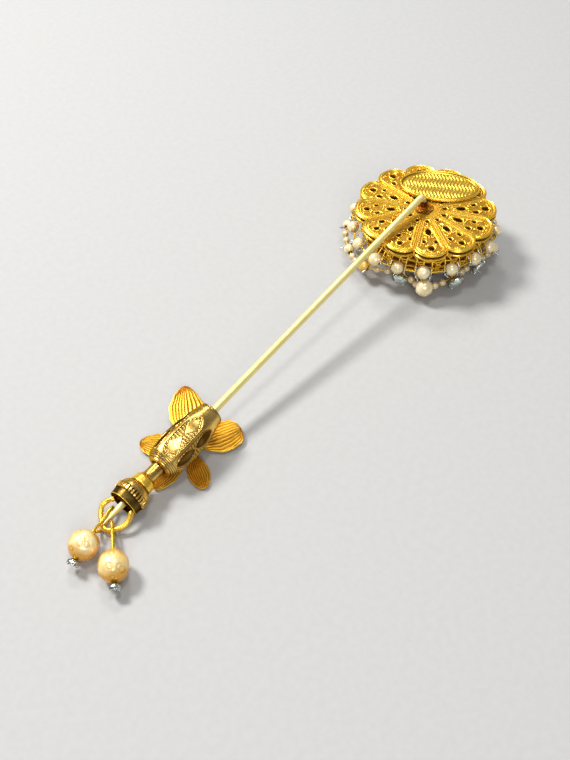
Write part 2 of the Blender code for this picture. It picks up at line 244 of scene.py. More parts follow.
class Build:
    """Collects faces in millimetres, with a tone from 0 (bright) to 1 (darkest) per vertex; the
    tone mostly paints shade, and in places patina or stain.
    """

    def __init__(self):
        self.verts, self.faces, self.tones = [], [], []

    def add(self, verts, faces, tones=0.0):
        base = len(self.verts)
        self.verts += [Vector(v) for v in verts]
        self.faces += [[base + i for i in f] for f in faces]
        self.tones += tones if isinstance(tones, list) else [tones] * len(verts)

    def grid(self, rows, tones=0.0, round_row=True, round_col=False):
        """Quads over rows of points. round_row joins each row's ends, round_col the rows.
        tones is one value, one per row, or one per point."""
        count, width = len(rows), len(rows[0])
        faces = []
        for r in range(count if round_col else count - 1):
            s = (r + 1) % count
            for c in range(width if round_row else width - 1):
                d = (c + 1) % width
                faces.append([r * width + c, r * width + d, s * width + d, s * width + c])
        if isinstance(tones, list):
            tones = [t for row in tones
                     for t in (row if isinstance(row, list) else [row] * width)]
        self.add([p for row in rows for p in row], faces, tones)

    def cap(self, ring, tone=0.0):
        self.add(ring, [list(range(len(ring)))], tone)

    def tube(self, path, radius, sides=8, closed=False, tone=0.0):
        path = [Vector(p) for p in path]
        radii = radius if isinstance(radius, list) else [radius] * len(path)
        rows, side, last = [], None, len(path) - 1
        for k, p in enumerate(path):
            before = path[k - 1] if k or closed else p
            after = path[(k + 1) % len(path)] if k < last or closed else p
            run = (after - before).normalized()
            if side is None:
                side = run.orthogonal().normalized()
            side = (side - run * side.dot(run)).normalized()
            up = run.cross(side)
            rows.append([p + (side * cos(TURN * i / sides)
                              + up * sin(TURN * i / sides)) * radii[k]
                         for i in range(sides)])
        if closed:
            # The carried frame may have turned, so the last row starts where it is nearest.
            ends = [(p - rows[-1][0]).length for p in rows[0]]
            shift = ends.index(min(ends))
            rows.append(rows[0][shift:] + rows[0][:shift])
        self.grid(rows, tone)
        if not closed:
            self.cap(rows[0][::-1], tone)
            self.cap(rows[-1], tone)

    def turned(self, profile, steps, place, tones, shape=None):
        """(radius, height) points round +Z of place; shape(angle, height, radius) -> radius."""
        rows = []
        for r, h in profile:
            angles = [TURN * i / steps for i in range(steps)]
            rows.append([place @ polar(shape(a, h, r) if shape else r, a, h) for a in angles])
        self.grid(rows, tones)

    def piece(self, name, mat, body, replaces=(), slot=None, sharp=0.7, flat=False):
        mesh = bpy.data.meshes.new(name)
        mesh.from_pydata([v * MM for v in self.verts], [], self.faces)
        attr = mesh.attributes.new("tone", "FLOAT", "POINT")
        attr.data.foreach_set("value", self.tones)
        work = bmesh.new()
        work.from_mesh(mesh)
        bmesh.ops.remove_doubles(work, verts=work.verts, dist=2e-7)
        bmesh.ops.recalc_face_normals(work, faces=work.faces)
        work.to_mesh(mesh)
        work.free()
        if not flat:
            mesh.shade_smooth()
            mesh.set_sharp_from_angle(angle=sharp)
        mesh.materials.append(mat)
        ob = link_object(name, mesh)
        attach(ob, body)
        if replaces:
            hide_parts(*replaces)


def smooth_path(points, per_span, closed=False):
    """Catmull-Rom curve through the points."""
    pts = [Vector(p) for p in points]
    count, out = len(pts), []
    for k in range(count if closed else count - 1):
        if closed:
            a, b, c, d = (pts[(k + s) % count] for s in (-1, 0, 1, 2))
        else:
            a, b, c, d = (pts[min(max(k + s, 0), count - 1)] for s in (-1, 0, 1, 2))
        for i in range(per_span):
            t = i / per_span
            out.append(0.5 * (2 * b + (c - a) * t + (2 * a - 5 * b + 4 * c - d) * t * t
                              + (3 * b - a - 3 * c + d) * t ** 3))
    return out if closed else out + [pts[-1]]


# ---- head

plate_lo, plate_hi = box_mm("back_filigree")
front_lo, front_hi = box_mm("front_filigree")
HEAD = Vector(((plate_lo.x + plate_hi.x) / 2, (plate_lo.y + plate_hi.y) / 2, 0))
PETALS = 12
PETAL_PHASE = radians(-140.8)
HALF = pi / PETALS
EDGE, NOTCH = 12.5, 10.95   # distance out to a petal's tip, and to the notch beside it
RELIEF = 0.17               # the wires and the rim stand this far above the sheet
RIM_SETBACK = 0.12
# Each petal's decoration: distance out, degrees off its middle, then the sizes.
HOLES = ((3.45, 0, 0.42, 0.34), (6.2, 0, 0.82, 0.5), (8.75, -6.6, 0.46, 0.36),
         (8.75, 6.6, 0.46, 0.36), (10.5, 0, 0.55, 0.5))
SCROLLS = ((7.45, 5.2, 0.5, 1.5, 0.4), (4.85, 4.9, 0.36, 1.3, 2.6),
           (9.75, 3.4, 0.3, 1.2, 1.0), (11.3, 6.6, 0.34, 1.3, 3.4))
GRAINS = ((5.05, 0, 0.2), (7.55, 0, 0.22), (11.55, 0, 0.24), (2.55, 0, 0.17),
          (9.9, 9.6, 0.16), (9.9, -9.6, 0.16), (6.3, 8.6, 0.17), (6.3, -8.6, 0.17))


def around_head(radius, angle, z=0.0):
    return HEAD + polar(radius, angle, z)


def petal_edge(phi):
    """Distance out to a petal's edge, phi from its middle in radians."""
    x = min(abs(phi) / HALF, 1.0)
    return NOTCH + (EDGE - NOTCH) * (1 - x ** 2.6)


def petal_arch(inset, count=12):
    """Outline of one petal, inset from its ribs and its edge, as (r, phi)."""
    left = []
    start, stop = 2.7 + inset * 3.2, NOTCH - 0.45 - inset * 0.6
    for k in range(count):
        r = start + (stop - start) * k / (count - 1)
        left.append((r, -(HALF - (0.16 + inset) / r)))
    arch = []
    for k in range(1, count):
        phi = -HALF + 2 * HALF * k / count
        x = abs(phi) / HALF
        arch.append((petal_edge(phi) - 0.18 - inset - 0.35 * x ** 4, phi * (1 - inset * 0.06)))
    return left + arch + [(r, -phi) for r, phi in left[::-1]]


def oval(centre, turn, a, b, steps):
    """Flat oval with its long axis along turn."""
    spin = Matrix.Rotation(turn, 2)
    return [centre + spin @ Vector((a * cos(TURN * i / steps),
                                    b * sin(TURN * i / steps))) for i in range(steps)]


def within(point, loop):
    hit = False
    for i, (x1, y1) in enumerate(loop):
        x2, y2 = loop[i - 1]
        if (y1 > point[1]) != (y2 > point[1]):
            if point[0] < (x2 - x1) * (point[1] - y1) / (y2 - y1) + x1:
                hit = not hit
    return hit


def petal_wires(work, mid, level, sign):
    """The arches, rib, scrolls and grains of one petal."""
    def at(r, degrees, lift=0.0):
        return around_head(r, mid + radians(degrees), level + sign * lift)

    for inset, size in ((0.2, 0.19), (0.66, 0.12)):
        work.tube([around_head(r, mid + phi, level + sign * 0.03)
                   for r, phi in petal_arch(inset)], size, 6)
    work.tube([around_head(r, mid + HALF, level) for r in (2.3, 4, 6, 8, 10, NOTCH - 0.1)],
              0.13, 6)
    steps = 14
    for side in (-1, 1):
        for r, off, size, turns, lead in SCROLLS:
            centre = at(r, side * off, 0.05)
            work.tube([centre + polar(size * (1 - 0.78 * i / steps),
                                      mid + lead + side * turns * TURN * i / steps)
                       for i in range(steps + 1)], 0.1, 5)
    for r, off, size in GRAINS:
        centre = Matrix.Translation(at(r, off))
        rows = []
        for i in range(4):
            t = pi / 2 * i / 3.2
            rows.append(circle(centre, size * cos(t), sign * size * sin(t), 8))
        work.grid(rows)
        work.cap(rows[-1])


def pierced_sheet(outline, holes, low, high):
    """A flat sheet between two levels, cut out between the outline and the holes."""
    flat, edges = [], []
    for loop in [outline] + holes:
        start = len(flat)
        edges += [(start + i, start + (i + 1) % len(loop)) for i in range(len(loop))]
        flat += loop
    # Points along the ribs keep the triangles from running across petals.
    for r in (1.0, 2.0, 4.5, 7.4, 9.6):
        flat += [polar(r, PETAL_PHASE + HALF + HALF * 2 * k).to_2d() for k in range(PETALS)]
    points, _, cells = geometry.delaunay_2d_cdt(flat, edges, [], 1, 1e-6)[:3]
    centres = [(sum(hole, Vector((0, 0))) / len(hole), hole) for hole in holes]
    tris = []
    for cell in cells:
        m = sum((points[i] for i in cell), Vector((0, 0))) / len(cell)
        if not any((m - c).length_squared < 1.0 and within(m, hole) for c, hole in centres):
            tris.append(list(cell))
    count = len(points)
    faces = [t[::-1] for t in tris] + [[i + count for i in t] for t in tris]
    seen = {(a, b) for t in tris for a, b in zip(t, t[1:] + t[:1])}
    faces += [[a, b, b + count, a + count] for a, b in sorted(seen) if (b, a) not in seen]
    # The sheet is painted darker than the wires on it, as the shade between them; the hub is
    # painted less dark.
    sheet = Build()
    sheet.add([HEAD + Vector((*p, z)) for z in (low, high) for p in points], faces,
              [0.66 if p.length > 2.4 else 0.3 for p in points] * 2)
    return sheet


def filigree(name, z_low, z_high, node, face_up, seed):
    """A stamped sheet with holes, and rims, ribs, scrolls and grains of wire on its face."""
    rng = random.Random(seed)
    work = Build()
    outline, holes = [], []
    sign = 1 if face_up else -1
    level = (z_high if face_up else z_low) - sign * RELIEF
    for k in range(PETALS):
        mid = PETAL_PHASE + 2 * HALF * k
        phis = [-HALF + 2 * HALF * i / 18 for i in range(18)]
        outline += [(petal_edge(phi), mid + phi) for phi in phis]
        for r, off, a, b in HOLES:
            grow = rng.uniform(0.82, 1.15)
            r += rng.uniform(-0.12, 0.12)
            turn = mid + radians(off + rng.uniform(-0.8, 0.8))
            centre = polar(r, turn).to_2d()
            holes.append(oval(centre, turn, a * grow, b * grow, 14))
            ring = oval(centre, turn, a * grow + 0.16, b * grow + 0.16, 18)
            work.tube([HEAD + Vector((*p, level + sign * 0.04)) for p in ring],
                      0.125, 6, True)
        petal_wires(work, mid, level, sign)
    low, high = sorted((level, z_low + 0.03 if face_up else z_high - 0.03))
    sheet = pierced_sheet([polar(r, a).to_2d() for r, a in outline], holes, low, high)
    sheet.piece(name + "_sheet", SHEET_GOLD, "head", [node], "gold", sharp=0.6)
    rim = [around_head(r - RIM_SETBACK, a, (z_low + z_high) / 2) for r, a in outline]
    work.tube(rim, 0.2, 8, True)
    work.tube([p + UP * sign * 0.16 - (p - HEAD).normalized() * 0.02 for p in rim],
              0.11, 6, True)
    work.piece(name + "_wirework", GOLD, "head", slot="gold")


filigree("back_plate", plate_lo.z, plate_hi.z, "back_filigree", True, 3)
filigree("front_plate", front_lo.z, front_hi.z, "front_filigree", False, 8)


def wave_height(x, y):
    """Engine-turned waves that cross the whole field."""
    wave = 0.5 + 0.5 * cos(TURN * (x + 0.22 * sin(2.4 * y)) / 0.62)
    return smoothstep(0.15, 0.85, wave)


def plaque():
    """Oval plate with a rolled rim; engine-turned waves fill its field."""
    lo, hi = box_mm("oval_plaque")
    place = Matrix.Translation(((lo.x + hi.x) / 2, (lo.y + hi.y) / 2, 0)) \
        @ Matrix.Rotation(radians(-59.4), 4, "Z")
    a, b = 7.25, 4.25
    mean = (a + b) / 2
    build = Build()
    steps, field, foot = 240, hi.z - 0.24, lo.z
    angles = [TURN * i / steps for i in range(steps)]
    # Share of the radius, level, tone.
    profile = ((0.93, foot, 0.9), (0.97, foot + 0.03, 0.8), (0.995, foot + 0.14, 0.5),
               (1.0, foot + 0.3, 0.2), (0.998, hi.z - 0.14, 0.05), (0.985, hi.z - 0.03, 0),
               (0.968, hi.z, 0), (0.95, hi.z - 0.02, 0), (0.935, hi.z - 0.1, 0.5),
               (0.925, field, 0.95), (0.905, field - 0.03, 0.7), (0.89, field + 0.06, 0.05),
               (0.87, field, 0.4))

    def ring(share, z):
        """The rim keeps one width all round, so it is inset evenly and not scaled."""
        inset = (1 - share) * mean
        return [place @ Vector(((a - inset) * cos(t), (b - inset) * sin(t), z))
                for t in angles]

    # The tone paints shade at the foot, under the rolled rim and in the groove inside it; the
    # underside cap is painted dark too.
    build.grid([ring(share, z) for share, z, _ in profile], [tone for *_, tone in profile])
    build.cap(ring(0.93, foot)[::-1], 0.6)
    inner_a, inner_b = a - 0.13 * mean, b - 0.13 * mean
    count = 60

    def waves(k, i):
        s, t = 1 - k / count, angles[i]
        x, y = inner_a * s * cos(t), inner_b * s * sin(t)
        grain = noise.noise(Vector((x * 3.1, y * 3.1, 4.0)))
        ridge = wave_height(x, y) * smoothstep(1.0, 0.93, s)
        rise = 0.02 * grain - 0.01 + 0.055 * ridge
        # Wave troughs are painted darker, as shade; the grain varies the tone at random.
        return place @ Vector((x, y, field + rise)), 0.26 - 0.24 * ridge + 0.12 * grain

    build.grid(*sampled(count + 1, steps, waves))
    build.piece("blank_oval_plaque", GOLD, "head", ["oval_plaque"], "gold", sharp=1.2)


plaque()

mouth_mount = next(m for m in frame["record"]["mounts"] if m["name"] == "barrel_mouth")
RUN = -Vector(mouth_mount["axis"]).normalized()
LIFT = RUN.cross(Vector((0, 1, 0))).normalized()
if LIFT.z < 0:
    LIFT = -LIFT
# The mount stands on the mouth's ring, 1.3 to one side of the pin's line.
MOUTH_AT = Vector(mouth_mount["pos_m"]) / MM - Vector((0, 1.3, 0))


def along(distance, side=0.0, up=0.0):
    """Point in the clutch: distance from its mouth, sideways and up across the pin."""
    return MOUTH_AT + RUN * distance + Vector((0, 1, 0)) * side + LIFT * up


SHAFT_TOP, SHAFT_LENGTH, SHAFT_RADIUS = -56.1, 80.2, 0.6
TAPER = ((8.0, 1), (6.0, 0.98), (4.6, 0.93), (3.8, 0.84), (3.0, 0.7), (2.2, 0.52),
         (1.4, 0.34), (0.7, 0.19), (0.25, 0.1), (0.0, 0.03))   # from the point, share of radius


def shaft():
    """The pin wire stands up out of the head, bends over and runs to its point."""
    top = along(SHAFT_TOP)
    foot = middle("solder_fillet")
    foot.z = plate_hi.z + 0.04
    bend = [foot, foot + UP * 0.5, foot + Vector((0.03, 0.1, 0.95)),
            foot + Vector((-0.02, 0.25, 1.4)), top + Vector((0, -0.08, -0.05)),
            top + RUN * 0.7, top + RUN * 1.6]
    path = smooth_path(bend, 5)
    path += [top + RUN * (1.6 + k * 3.9) for k in range(1, 19)]
    radii = [SHAFT_RADIUS] * len(path) + [SHAFT_RADIUS * share for _, share in TAPER]
    path += [top + RUN * (SHAFT_LENGTH - back) for back, _ in TAPER]
    build = Build()
    build.tube(path, radii, 20)
    build.piece("pin_wire", PALE_BRASS, "head", ["pin_shaft"], "pale_brass", sharp=1.3)
    return foot


def solder_lump(foot):
    """An uneven pool of solder that climbs the wire."""
    steps, count = 40, 23

    def spot(k, i):
        s, a = k / count, TURN * i / steps
        reach = 1.75 + 0.6 * noise.noise(polar(1.6, a, 2))
        r = 0.68 + (reach - 0.68) * max(1 - s * 1.5, 0) ** 1.2 - 0.05 * s
        z = 0.2 * s + 1.25 * smoothstep(0.55, 1.0, s) + 0.1 * noise.noise(polar(r * 2, a, 7))
        return (foot + polar(r, a, 0.03 + max(z, 0) * min(1, s * 4)),
                0.3 + 0.5 * s + 0.5 * noise.noise(polar(2, a, s * 3)))

    lump = Build()
    lump.grid(*sampled(count + 1, steps, spot))
    lump.piece("solder_lump", SOLDER, "head", ["solder_fillet"], "solder", sharp=1.5)


solder_lump(shaft())


def dent_depth(d, c):
    """A ring-shaped dimple round direction c."""
    away = (d - c).length
    return exp(-((away - 0.17) / 0.05) ** 2) - 0.5 * exp(-(away / 0.08) ** 2)


def bead_piece(name, centre, axis, radius, bore, mat, body, node, slot, wobble=0.02, seed=0,
               stretch=1.0, amber_and_shade=None, steps=36, pits=()):
    """A bored pearl with a slightly uneven skin, and pits ringed like small craters."""
    place = frame_at(centre, axis)
    first = asin(bore / radius)
    rng = random.Random(int(seed * 10))
    back = place.to_3x3().inverted()
    dents = [(back @ Vector(p)).normalized() for p in pits]
    dents += [Vector((rng.gauss(0, 1), rng.gauss(0, 1), rng.gauss(0, 0.6))).normalized()
              for _ in pits]
    rows, tones = [], []
    count = 90 if pits else 26
    for k in range(count + 1):
        t = first + (pi - 2 * first) * k / count
        from_hole = min(t, pi - t) - first
        edge = 1 - 0.2 * exp(-(from_hole / 0.09) ** 2) * bore / radius
        hole = 0.6 * exp(-(from_hole / 0.16) ** 2)
        row, tone = [], []
        for i in range(steps):
            d = polar(sin(t), TURN * i / steps, cos(t))
            n = noise.noise(d * 1.7 + Vector((seed, 0, 0)))
            fine = noise.noise(d * 5.0 + Vector((0, seed, 0)))
            pit = max((dent_depth(d, c) for c in dents), default=0.0)
            r = radius * (1 - wobble + wobble * n * 1.4 + wobble * 0.3 * fine) * edge
            r -= radius * 0.03 * pit
            row.append(place @ Vector((d.x * r, d.y * r, d.z * r * stretch)))
            # The tone paints shade near the bore and in the sunk rings of the pits, and adds the
            # amber and shade given by the function passed in.
            tone.append(unit(hole + 0.45 * max(pit, 0) + (amber_and_shade(d, n, place) if amber_and_shade else 0)))
        rows.append(row)
        tones.append(tone)
    # The bore's inside is painted darkest, as shade.
    for share in (-1, 0, 1):
        height = share * radius * stretch * cos(first) * 0.97
        rows.append(circle(place, bore * 0.96, height, steps))
        tones.append(1.0)
    build = Build()
    build.grid(rows, tones, round_col=True)
    build.piece(name, mat, body, [node], slot, sharp=1.4)


def strung_centres(prefix, count):
    return [middle(f"{prefix}_{k:02d}") for k in range(1, count + 1)]


RIM_COUNT, TIER_COUNT = 16, 6
rim = strung_centres("rim_pearl", RIM_COUNT)
tips = strung_centres("tip_pearl", TIER_COUNT)
cups = strung_centres("setting", TIER_COUNT)


def pearl_radius(node):
    lo, hi = box_mm(node)
    return max(hi - lo) / 2


def painted_underside_shade(d, n, place):
    """Seed pearls are painted darker underneath, as shade."""
    height = (place.to_3x3() @ d).z
    return 0.6 * smoothstep(0.3, -0.7, height + 0.25 * n)


for k, at in enumerate(rim):
    node = f"rim_pearl_{k + 1:02d}"
    bead_piece(f"seed_pearl_{k + 1:02d}", at, rim[(k + 1) % RIM_COUNT] - rim[k - 1],
               pearl_radius(node), 0.3, SEED, "head", node, "pearl", seed=k * 3.1,
               amber_and_shade=painted_underside_shade)
# Pearls and cups of the lower tier in the order they are strung; a cup's name is left blank.
tier = sorted([(p, f"tip_pearl_{k + 1:02d}") for k, p in enumerate(tips)]
              + [(p, "") for p in cups], key=lambda e: atan2(e[0].y, e[0].x - HEAD.x))
for k, (at, node) in enumerate(tier):
    if not node:
        continue
    golden = node == "tip_pearl_06"
    bead_piece(node.replace("tip", "outer"), at, tier[(k + 1) % len(tier)][0] - tier[k - 1][0],
               pearl_radius(node), 0.38, SEED_GOLD if golden else SEED, "head", node, "pearl",
               seed=20 + k * 2.7, amber_and_shade=painted_underside_shade)


def bridge(build, low, high, place):
    """Triangles between two rings, whatever their counts."""
    back = place.inverted()

    def by_angle(ring):
        local = [back @ p for p in ring]
        return sorted((atan2(q.y, q.x) % TURN, i) for i, q in enumerate(local))

    a, b = by_angle(low), by_angle(high)
    n, m = len(a), len(b)

    def angle(ring, k):
        return ring[k % len(ring)][0] + (TURN if k >= len(ring) else 0)

    faces = []
    i = j = 0
    while i < n or j < m:
        if j >= m or (i < n and angle(a, i + 1) <= angle(b, j + 1)):
            faces.append([i % n, (i + 1) % n, n + j % m])
            i += 1
        else:
            faces.append([i % n, n + (j + 1) % m, n + j % m])
            j += 1
    build.add([low[k] for _, k in a] + [high[k] for _, k in b], faces)


def montee(cup_name, stone_name, cup_node, stone_node, centre, face, radius, body):
    """A scalloped cup with four prongs, and the cut stone it holds."""
    place = frame_at(centre, face)
    r = radius
    build = Build()
    profile = [(0.02, 0.0), (r * 0.62, 0.0), (r * 0.9, 0.2), (r + 0.1, 0.5), (r + 0.13, 0.86),
               (r + 0.1, 0.93), (r + 0.04, 0.92), (r, 0.6), (r * 0.5, 0.14), (0.02, 0.12)]

    def scallop(a, h, rr):
        return rr * (1 + 0.035 * cos(12 * a) * smoothstep(0.3, 0.9, h))

    # The cup is painted darker underneath and inside, under the stone, as shade.
    build.turned(profile, 48, place, [0.8, 0.6, 0.3, 0.1, 0, 0, 0.2, 0.8, 1, 1], scallop)
    for k in range(4):
        a = pi / 4 + k * pi / 2
        arm = [(r + 0.1, 0.3), (r + 0.14, 0.8), (r + 0.02, 0.98), (r * 0.8, 0.96)]
        build.tube(smooth_path([place @ polar(q, a, h) for q, h in arm], 3), 0.11, 6)
    build.piece(cup_name, SILVER, body, [cup_node], "silver", sharp=0.9)
    gem = Build()
    girdle = 0.74
    crown = girdle + (0.36 if r > 1 else 0.16)
    # Radius, height, corners, turn by a share of a corner.
    rings = [(r * 0.3, 0.25, 8, 0), (r * 0.95, 0.66, 8, 0.5), (r * 0.97, girdle, 16, 0),
             (r * 0.8, (crown + girdle) / 2, 8, 0.5), (r * 0.5, crown, 8, 0)]
    loops = [circle(place, q, h, n, TURN * off / n) for q, h, n, off in rings]
    for low, high in zip(loops, loops[1:]):
        bridge(gem, low, high, place)
    gem.cap(loops[-1])
    gem.cap(loops[0][::-1])
    gem.piece(stone_name, CRYSTAL, body, [stone_node], "stone", flat=True)


def outward(at):
    return Vector((at.x - HEAD.x, at.y - HEAD.y, 0)).normalized()


def cup_face(at):
    return (outward(at) - UP * 0.35).normalized()


for k, at in enumerate(cups):
    face = cup_face(at)
    montee(f"rose_cup_{k + 1}", f"rose_stone_{k + 1}", f"setting_{k + 1:02d}",
           f"stone_{k + 1:02d}", at - face * 0.46, face, 1.3, "head")


def nearest_in_tier(at):
    return min(tier, key=lambda e: (e[0] - at).length)[0]


def strands():
    """The strung wires of both tiers, and filler beads between the lower tier's pieces."""
    per_span = 8
    points = [at if node else at - cup_face(at) * 0.9 for at, node in tier]
    course = smooth_path(points, per_span, True)
    for name, node, path in (("rim_strand", "rim_wire", smooth_path(rim, 6, True)),
                             ("tier_strand", "tier_wire", course)):
        strand = Build()
        strand.tube(path, 0.16, 8, True)
        strand.piece(name, GOLD, "head", [node], "gold", sharp=1.4)
    filler = Build()
    angles = [0.3 + (pi - 0.6) * step / 10 for step in range(11)]
    # Each filler bead is painted darker towards the wire at its ends, as shade.
    tones = [0.25 + 0.3 * abs(step - 5) / 5 for step in range(11)]
    for k in range(len(tier)):
        for part in (3, 5):
            first = k * per_span + part
            at, after = course[first], course[(first + 1) % len(course)]
            place = frame_at(at, after - at)
            filler.grid([circle(place, 0.62 * sin(t), 0.7 * cos(t), 18)
                         for t in angles], tones)
    filler.piece("filler_beads", SEED, "head", slot="pearl", sharp=1.4)


BOWL_FOOT, BOWL_TOP = 3.0, front_lo.z - 0.2
LATTICE = 24      # strands each way round the bowl, and lobes round its hoops and lining
HOOPS = ((10.9, front_lo.z - 0.15), (11.1, 7.1), (10.9, 5.6), (10.2, 4.2), (8.9, 3.1))
# Distance out, level, and lean round the bowl.
STRAND = ((10.9, front_lo.z - 0.1, 0), (11.25, 7.1, 0.09), (11.0, 5.6, 0.14),
          (10.3, 4.2, 0.09), (9.0, 3.05, 0))


def gallery_bowl_with_shade_lining():
    """An openwork bowl carries the pearls between the plates and the lower tier; a dark lining
    inside it is painted shade.
    """
    bowl = Build()
    steps = 144
    for r, z in HOOPS:
        angles = [TURN * k / steps for k in range(steps)]
        bowl.tube([around_head(r + 0.12 * cos(LATTICE * a), a, z) for a in angles],
                  0.15, 6, True)
    for k in range(LATTICE):
        a = TURN * k / LATTICE + PETAL_PHASE
        for lean in (-1, 1):
            strand = [around_head(r, a + lean * t, z) for r, z, t in STRAND]
            bowl.tube(smooth_path(strand, 4), 0.15, 6)
        between = a + HALF / 2
        for r, z in ((11.35, 6.3), (10.9, 4.85)):
            place = frame_at(around_head(r, between, z), polar(1, between))
            bowl.tube(circle(place, 0.42, 0, 12), 0.13, 5, True)
    steps, count = 288, 48

    def shade_lining(k, i):
        z, a = BOWL_FOOT + (BOWL_TOP - BOWL_FOOT) * k / count, TURN * i / steps
        base = 10.62 - 2.1 * max(1 - (z - BOWL_FOOT) / 3.6, 0) ** 2
        emboss = cos(LATTICE * a) * cos(TURN * (z - BOWL_FOOT) / 1.5)
        return around_head(base + 0.09 * emboss, a, z), unit(0.75 - 0.5 * emboss)

    # Its embossed lining is painted shade: a dark sheet that closes the view between the wires,
    # darker still in its hollows.
    rows, tones = sampled(count + 1, steps, shade_lining)
    inner = [[p - outward(p) * 0.14 for p in row] for row in rows[::-1]]
    bowl.grid(rows + inner, tones + tones[::-1], round_col=True)
    bowl.piece("gallery_bowl_with_shade_lining", SHEET_GOLD, "head", slot="gold", sharp=1.4)


def tie_wires(rng):
    """Fine wires tie the pearls to the front plate, and posts join the two plates."""
    ties = Build()
    root_z = front_lo.z + 0.1
    for at in rim:
        out = outward(at)
        a0 = atan2(out.y, out.x)
        reach = hypot(at.x - HEAD.x, at.y - HEAD.y) + 0.25
        near = nearest_in_tier(at)
        for side in (-1, 1):
            a1 = a0 + side * 1.32 / 11.5 + rng.uniform(-0.02, 0.02)
            root = around_head(10.7, a1, root_z)
            mid = around_head(reach, a0 + side * 1.42 / reach, at.z + 0.5)
            low = at * 0.55 + near * 0.45 + Vector((side * 0.25, 0, -0.35))
            ties.tube(smooth_path([root, (root + mid) / 2 + out * 0.35, mid, low], 5), 0.1, 6)
        top = around_head(10.2, a0, root_z)
        ties.tube(smooth_path([top, (top + at) / 2 + out * 0.2, at + UP * 0.2], 5), 0.12, 6)
    for k in range(PETALS):
        a = PETAL_PHASE + HALF + 2 * HALF * k
        ties.tube([around_head(NOTCH, a, z) for z in (root_z, plate_hi.z - 0.25)], 0.22, 8)
    # A coil of grain wire runs under the rim, as jewellers finish such an edge.
    steps, per_turn, coil = 720, 6, []
    for k in range(steps):
        spin = TURN * k / per_turn
        coil.append(around_head(11.0 + 0.2 * cos(spin), TURN * k / steps,
                                front_lo.z - 0.1 + 0.2 * sin(spin)))
    ties.tube(coil, 0.09, 5, True)
    ties.piece("tie_wires", GOLD, "head", slot="gold", sharp=1.4)


def silver_lashing(rng):
    """Silver wire lashes each rim pearl to the nearest piece of the lower tier."""
    lash = Build()
    steps = 21
    for at in rim:
        out = outward(at)
        side = Vector((-out.y, out.x, 0))
        near = nearest_in_tier(at)
        for way in (-1, 1):
            start = at + side * way * 1.3 + UP * 0.9 - out * 0.5
            turn = at + side * way * 1.38 - UP * 0.3 + out * 0.15
            end = near + side * way * 0.7 + UP * 0.4 - out * 0.6
            lash.tube(smooth_path([start, (start + turn) / 2 + out * 0.3, turn, end], 5),
                      0.13, 7)
            coil = []
            for step in range(steps + 1):
                t = step / steps
                spin = t * 5 * pi
                coil.append(turn + (end - turn) * t * 0.8
                            + (out * cos(spin) + side * sin(spin)) * 0.24)
            lash.tube(coil, 0.09, 5)
        stub = near + out * rng.uniform(0.3, 0.7) + side * rng.choice((-1, 1)) * 0.9
        lash.tube([stub, stub + out * 0.7 + side * rng.uniform(-0.5, 0.5) - UP * 0.4], 0.1, 6)
    lash.piece("silver_lashing", SILVER, "head", slot="silver", sharp=1.4)


strands()
gallery_bowl_with_shade_lining()
wire_rng = random.Random(5)
tie_wires(wire_rng)
silver_lashing(wire_rng)


def centre_piece():
    """Front of the head: a large pearl in a cup with a lobed edge."""
    at = Vector((HEAD.x, HEAD.y, box_mm("centre_cup")[1].z))
    build = Build()
    profile = [(0.02, 0), (2.2, 0), (2.25, 0.15), (1.9, 0.4), (1.85, 1.3), (2.2, 1.7), (2.8, 2.6),
               (3.1, 3.4), (3.25, 4.2), (3.3, 4.5), (3.2, 4.62), (3.08, 4.5), (2.95, 3.6),
               (2.4, 2.6), (0.02, 2.1)]
    # The cup is painted darker at its neck and inside, under the pearl, as shade.
    tones = [0.4, 0.3, 0, 0.6, 0.5, 0.3, 0.15, 0.1, 0, 0, 0, 0.2, 0.8, 1, 1]

    def lobes(a, h, r):
        return r * (1 + 0.04 * abs(cos(9 * a)) * smoothstep(1.8, 4.2, h))

    build.turned(profile, 108, frame_at(at, -UP), tones, lobes)
    build.piece("centre_calyx", GOLD, "head", ["centre_cup"], "gold", sharp=1.0)
    bead_piece("centre_boss_pearl", middle("centre_pearl"), UP, 3.0, 0.08, SEED, "head",
               "centre_pearl", "pearl", wobble=0.006, seed=4, steps=56)


centre_piece()

# ---- clutch

# Turned profiles are (radius, height) along the clutch from its mouth; the barrel's own
# outline is (height, radius).
CLUTCH = frame_at(along(0), RUN)
SPAN = 12.2
BARREL_PROFILE = ((0.0, 1.75), (0.1, 1.93), (0.35, 2.02), (1.2, 2.2), (2.9, 2.62), (5.0, 2.95),
                  (7.4, 3.08), (9.4, 2.98), (11.0, 2.72), (11.5, 2.5), (12.0, 2.1), (12.2, 1.6))
BARREL_BORE = ((1.22, SPAN), (1.22, 11.3), (1.95, 11.0), (1.95, 3.6), (1.0, 2.0), (0.78, 1.9),
               (0.78, 0.0))
END_GROOVES = (11.05, 11.32, 11.6, 11.86)
FACETS = 6
SECTOR = TURN / FACETS
PANEL_TURN = radians(74)
PANEL_SHARE = 0.86                       # of a facet's width
PANEL_FOOT, PANEL_LENGTH = 2.7, 8.2
HATCH_LINES = 8.6 / 0.6                  # along a panel


def straight_radius(h):
    for (h0, r0), (h1, r1) in zip(BARREL_PROFILE, BARREL_PROFILE[1:]):
        if h <= h1:
            return r0 + (r1 - r0) * (h - h0) / (h1 - h0)
    return BARREL_PROFILE[-1][1]


def smooth_radius(h):
    near = [min(max(h + d, 0), SPAN) for d in (-0.3, -0.1, 0.1, 0.3)]
    return sum(straight_radius(x) for x in near) / len(near)


def peak(distance, reach):
    """1 at no distance, falling straight to 0 at reach."""
    return max(0.0, 1 - abs(distance) / reach)


